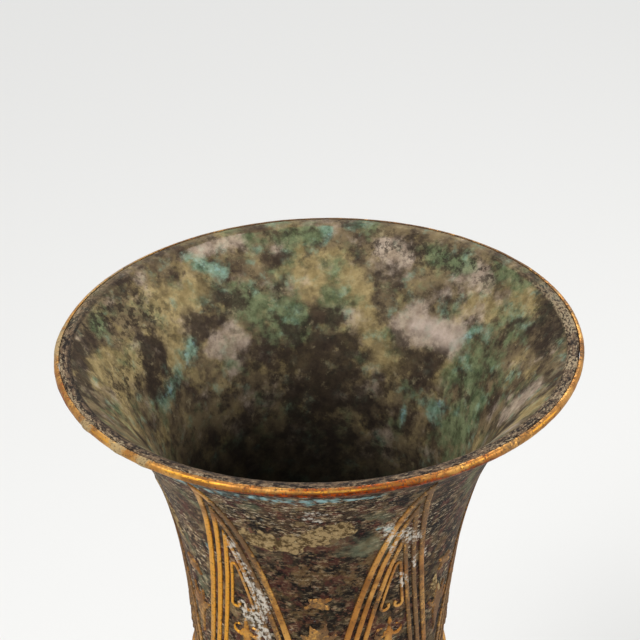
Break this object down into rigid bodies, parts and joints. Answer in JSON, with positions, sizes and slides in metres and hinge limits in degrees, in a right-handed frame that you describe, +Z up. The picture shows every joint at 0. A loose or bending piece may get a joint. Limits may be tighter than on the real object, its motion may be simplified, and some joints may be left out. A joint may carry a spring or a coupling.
{
  "type": "bronze beaker vase",
  "caption": "Tall patinated bronze beaker vase with a wide trumpet mouth, a bright hoop round the lip, blade-shaped wire ornament, a swelling waist and a spreading hollow foot.",
  "frame": {"origin": "centre of the standing face, on the surface that the vessel stands on", "axes": "+Z up along the vessel's axis, the pictured front towards -Y, +X to its right"},
  "size_m": [0.1504, 0.1504, 0.2585],
  "materials": {
    "patinated_bronze": "old bronze with a mottled dark brown, olive, khaki and green patina, half matte",
    "bright_bronze": "rubbed golden bronze with brown tarnish in its hollows, satin"
  },
  "bodies": {
    "root": {"neck_shell": "patinated_bronze", "waist_drum": "patinated_bronze", "vessel_floor": "patinated_bronze", "foot_skirt": "patinated_bronze", "foot_ring": "patinated_bronze", "upper_collar": "patinated_bronze", "lower_collar": "patinated_bronze", "rim_hoop": "bright_bronze", "neck_ring": "bright_bronze", "blade_1_outer_wire": "bright_bronze", "blade_1_middle_wire": "bright_bronze", "blade_1_inner_wire": "bright_bronze", "blade_1_scroll_wire": "bright_bronze", "blade_2_outer_wire": "bright_bronze", "blade_2_middle_wire": "bright_bronze", "blade_2_inner_wire": "bright_bronze", "blade_2_scroll_wire": "bright_bronze", "blade_3_outer_wire": "bright_bronze", "blade_3_middle_wire": "bright_bronze", "blade_3_inner_wire": "bright_bronze", "blade_3_scroll_wire": "bright_bronze", "blade_4_outer_wire": "bright_bronze", "blade_4_middle_wire": "bright_bronze", "blade_4_inner_wire": "bright_bronze", "blade_4_scroll_wire": "bright_bronze", "blade_5_outer_wire": "bright_bronze", "blade_5_middle_wire": "bright_bronze", "blade_5_inner_wire": "bright_bronze", "blade_5_scroll_wire": "bright_bronze", "blade_6_outer_wire": "bright_bronze", "blade_6_middle_wire": "bright_bronze", "blade_6_inner_wire": "bright_bronze", "blade_6_scroll_wire": "bright_bronze", "blade_1_crest": "bright_bronze", "blade_2_crest": "bright_bronze", "blade_3_crest": "bright_bronze", "blade_4_crest": "bright_bronze", "blade_5_crest": "bright_bronze", "blade_6_crest": "bright_bronze", "gap_1_drop": "bright_bronze", "gap_2_drop": "bright_bronze", "gap_3_drop": "bright_bronze", "gap_4_drop": "bright_bronze", "gap_5_drop": "bright_bronze", "gap_6_drop": "bright_bronze", "foot_blade_1_outer_wire": "bright_bronze", "foot_blade_1_inner_wire": "bright_bronze", "foot_blade_2_outer_wire": "bright_bronze", "foot_blade_2_inner_wire": "bright_bronze", "foot_blade_3_outer_wire": "bright_bronze", "foot_blade_3_inner_wire": "bright_bronze", "foot_blade_4_outer_wire": "bright_bronze", "foot_blade_4_inner_wire": "bright_bronze", "foot_blade_5_outer_wire": "bright_bronze", "foot_blade_5_inner_wire": "bright_bronze", "foot_blade_6_outer_wire": "bright_bronze", "foot_blade_6_inner_wire": "bright_bronze"}
  },
  "joints": []
}
